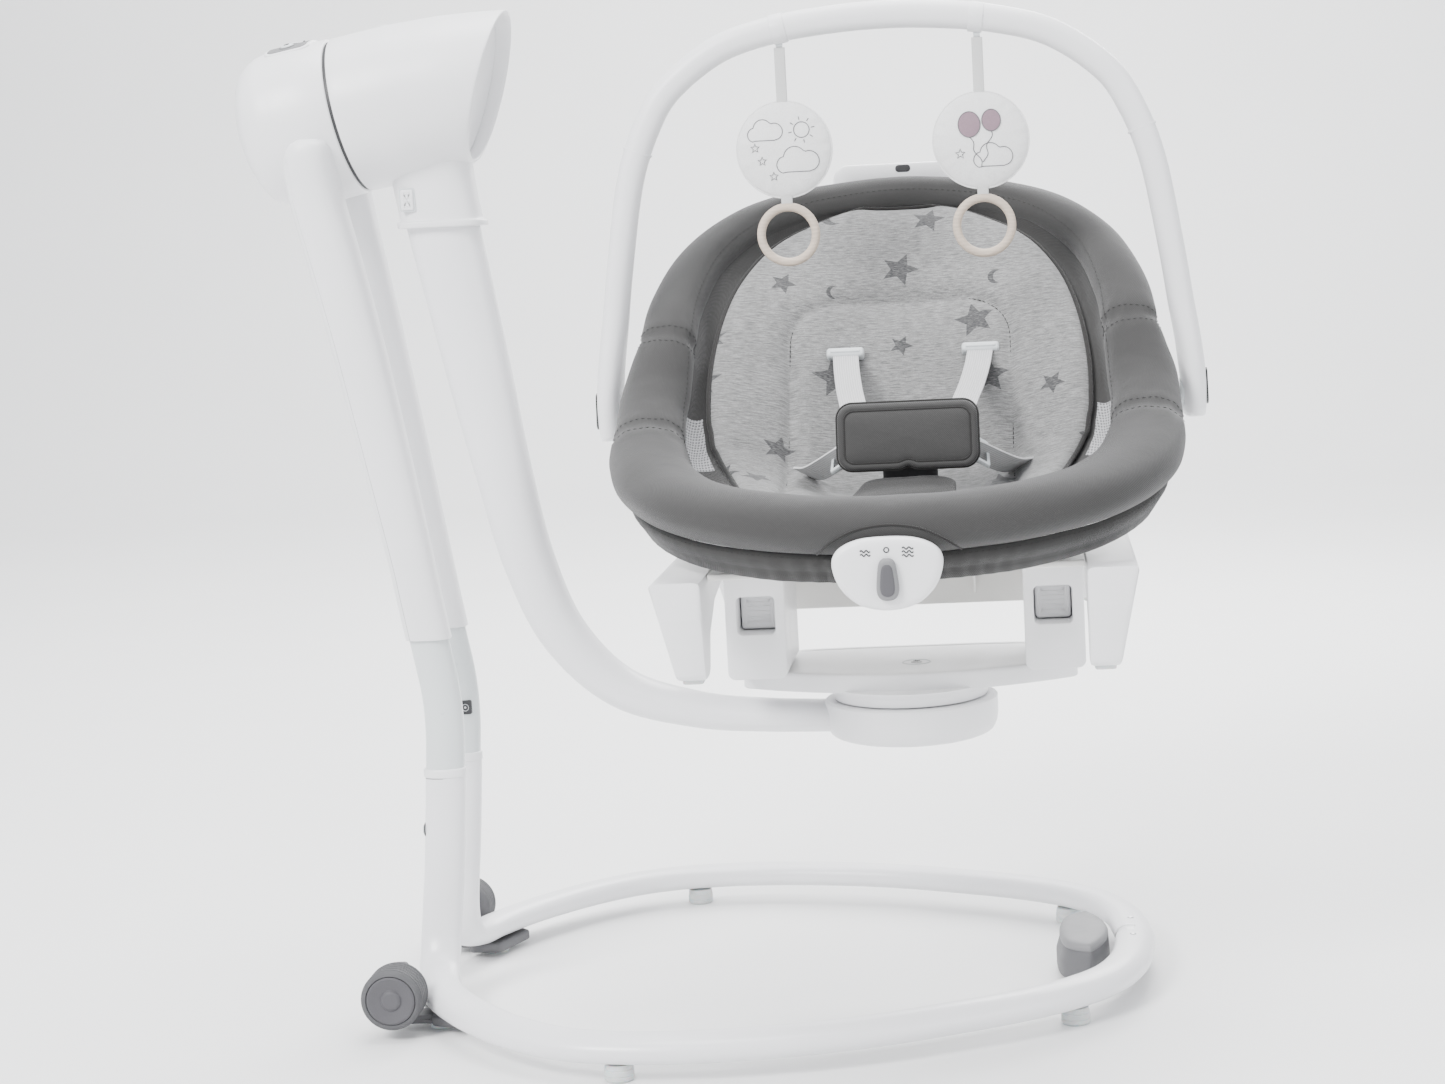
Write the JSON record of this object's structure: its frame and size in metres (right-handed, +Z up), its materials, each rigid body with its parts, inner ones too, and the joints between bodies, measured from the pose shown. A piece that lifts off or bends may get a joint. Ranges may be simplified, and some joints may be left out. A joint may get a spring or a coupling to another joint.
{
  "type": "baby swing",
  "caption": "Baby swing: oval floor loop with leaning legs, tilted motor head, bent swing arm, turntable and clip-on padded rocker seat with harness, recline, toy bar and vibration unit.",
  "frame": {"origin": "centre of the bounding box on the floor plane", "axes": "+Z up; the stand's legs at -X and the seat at +X; the seated child faces -Y when the swing is as shown"},
  "size_m": [0.857, 0.5876, 0.8948],
  "materials": {
    "white_shell": "smooth moulded white plastic, semi-gloss",
    "white_tube": "powder-coated white steel tube",
    "pale_tube": "powder-coated light grey steel tube",
    "pale_plastic": "light grey moulded plastic",
    "foot_rubber": "soft translucent grey rubber",
    "dark_plastic": "dark grey moulded plastic, fine grain",
    "mid_plastic": "mid grey moulded plastic",
    "wheel_plastic": "dark grey soft-rimmed wheel",
    "steel": "plain steel",
    "rim_fabric": "charcoal twill cover over foam",
    "insert_fabric": "light grey melange jersey over foam",
    "webbing": "light grey woven webbing",
    "plush": "white plush with grey embroidery",
    "red_plastic": "red push button",
    "cream_plastic": "cream moulded plastic",
    "ring_wood": "pale sanded wood"
  },
  "bodies": {
    "stand": {"base_front_tube": "white_tube", "base_rear_tube": "white_tube", "base_tip_block": "mid_plastic", "foot_front_left": "foot_rubber", "foot_front_right": "foot_rubber", "foot_rear_left": "foot_rubber", "foot_rear_right": "foot_rubber", "wheel_housing_front": "mid_plastic", "wheel_housing_rear": "mid_plastic", "upright_tube_front": "pale_tube", "upright_tube_rear": "pale_tube", "upright_cover_front": "white_shell", "upright_cover_rear": "white_shell", "dc_inlet": "dark_plastic", "motor_housing": "white_shell", "control_panel": "dark_plastic", "drive_motor": "steel"},
    "wheel_front": {"wheel_front": "wheel_plastic"},
    "wheel_rear": {"wheel_rear": "wheel_plastic"},
    "leg_button_front": {"leg_button_front": "pale_plastic"},
    "leg_button_rear": {"leg_button_rear": "pale_plastic"},
    "button_power": {"button_power": "pale_plastic"},
    "button_sound": {"button_sound": "pale_plastic"},
    "button_timer": {"button_timer": "pale_plastic"},
    "swing_arm": {"swing_shaft": "steel", "swing_hub_shell": "white_shell", "hub_end_cap": "white_shell", "swing_arm_tube": "white_tube", "turntable_base": "white_shell"},
    "arm_button": {"arm_release_button": "white_shell"},
    "turntable": {"turntable_plate": "white_shell"},
    "seat": {"rocker_left": "white_shell", "rocker_right": "white_shell", "seat_chassis": "cream_plastic", "latch_bracket_left": "white_shell", "latch_bracket_right": "white_shell", "seat_front_tube": "steel", "rim_pad_front": "rim_fabric", "seat_cushion": "insert_fabric", "buckle": "dark_plastic", "buckle_cover": "rim_fabric", "waist_strap_left": "webbing", "waist_strap_right": "webbing", "vibration_housing": "white_shell", "vibration_motor": "steel"},
    "latch_left": {"latch_lever_left": "pale_plastic"},
    "latch_right": {"latch_lever_right": "pale_plastic"},
    "back_rest": {"back_tube": "steel", "rim_pad_back": "rim_fabric", "back_cushion": "insert_fabric", "back_handle": "white_shell", "shoulder_strap_left": "webbing", "shoulder_strap_right": "webbing"},
    "toy_bar": {"toy_bar": "white_shell"},
    "toy_left": {"toy_disc_left": "plush"},
    "toy_right": {"toy_disc_right": "plush"},
    "ring_left": {"toy_ring_left": "ring_wood"},
    "ring_right": {"toy_ring_right": "ring_wood"},
    "vibration_knob": {"vibration_knob": "mid_plastic"},
    "buckle_button": {"buckle_button": "red_plastic"}
  },
  "joints": [
    {"name": "swing", "type": "hinge", "parent": "stand", "child": "swing_arm", "pos_m": [-0.32992, 0, 0.809], "axis": [0.9833, 0, 0.1822], "range_deg": [-14, 14]},
    {"name": "wheel_front_spin", "type": "hinge", "parent": "stand", "child": "wheel_front", "pos_m": [-0.30992, -0.1475, 0.038], "axis": [0, 1, 0], "continuous": true},
    {"name": "leg_button_front_press", "type": "slide", "parent": "stand", "child": "leg_button_front", "axis": [1, 0, 0], "range_m": [0, 0.003], "stiffness_N_per_m": 400},
    {"name": "wheel_rear_spin", "type": "hinge", "parent": "stand", "child": "wheel_rear", "pos_m": [-0.30992, 0.1475, 0.038], "axis": [0, 1, 0], "continuous": true},
    {"name": "leg_button_rear_press", "type": "slide", "parent": "stand", "child": "leg_button_rear", "axis": [1, 0, 0], "range_m": [0, 0.003], "stiffness_N_per_m": 400},
    {"name": "button_power_press", "type": "slide", "parent": "stand", "child": "button_power", "axis": [0.176, 0.2588, -0.9498], "range_m": [0, 0.0012], "stiffness_N_per_m": 300},
    {"name": "button_sound_press", "type": "slide", "parent": "stand", "child": "button_sound", "axis": [0.1822, 0, -0.9833], "range_m": [0, 0.0012], "stiffness_N_per_m": 300},
    {"name": "button_timer_press", "type": "slide", "parent": "stand", "child": "button_timer", "axis": [0.176, -0.2588, -0.9498], "range_m": [0, 0.0012], "stiffness_N_per_m": 300},
    {"name": "arm_release_press", "type": "slide", "parent": "swing_arm", "child": "arm_button", "axis": [0, 1, 0], "range_m": [0, 0.002], "stiffness_N_per_m": 400},
    {"name": "seat_turn", "type": "hinge", "parent": "swing_arm", "child": "turntable", "pos_m": [0.14908, 0, 0.262], "axis": [0, 0, 1], "range_deg": [-90, 90]},
    {"name": "seat_lift_off", "type": "slide", "parent": "turntable", "child": "seat", "axis": [0, 0, 1], "range_m": [0, 0.15]},
    {"name": "latch_left_squeeze", "type": "slide", "parent": "seat", "child": "latch_left", "axis": [0, 1, 0], "range_m": [0, 0.006], "stiffness_N_per_m": 500},
    {"name": "latch_right_squeeze", "type": "slide", "parent": "seat", "child": "latch_right", "axis": [0, 1, 0], "range_m": [0, 0.006], "stiffness_N_per_m": 500},
    {"name": "recline", "type": "hinge", "parent": "seat", "child": "back_rest", "pos_m": [0.14908, 0.05, 0.524], "axis": [1, 0, 0], "range_deg": [-20, 0]},
    {"name": "toy_bar_swing", "type": "hinge", "parent": "seat", "child": "toy_bar", "pos_m": [0.14908, 0.05, 0.524], "axis": [1, 0, 0], "range_deg": [-15, 50]},
    {"name": "toy_left_swing", "type": "hinge", "parent": "toy_bar", "child": "toy_left", "pos_m": [0.05408, 0.05, 0.856], "axis": [1, 0, 0], "range_deg": [-40, 40]},
    {"name": "ring_left_swing", "type": "hinge", "parent": "toy_left", "child": "ring_left", "pos_m": [0.05408, 0.05, 0.713], "axis": [1, 0, 0], "range_deg": [-35, 35]},
    {"name": "toy_right_swing", "type": "hinge", "parent": "toy_bar", "child": "toy_right", "pos_m": [0.23308, 0.05, 0.856], "axis": [1, 0, 0], "range_deg": [-40, 40]},
    {"name": "ring_right_swing", "type": "hinge", "parent": "toy_right", "child": "ring_right", "pos_m": [0.23308, 0.05, 0.713], "axis": [1, 0, 0], "range_deg": [-35, 35]},
    {"name": "vibration_turn", "type": "hinge", "parent": "seat", "child": "vibration_knob", "pos_m": [0.14908, -0.289, 0.409], "axis": [0, 1, 0], "range_deg": [-40, 40]},
    {"name": "buckle_press", "type": "slide", "parent": "seat", "child": "buckle_button", "axis": [0, 1, 0], "range_m": [0, 0.003], "stiffness_N_per_m": 400}
  ]
}
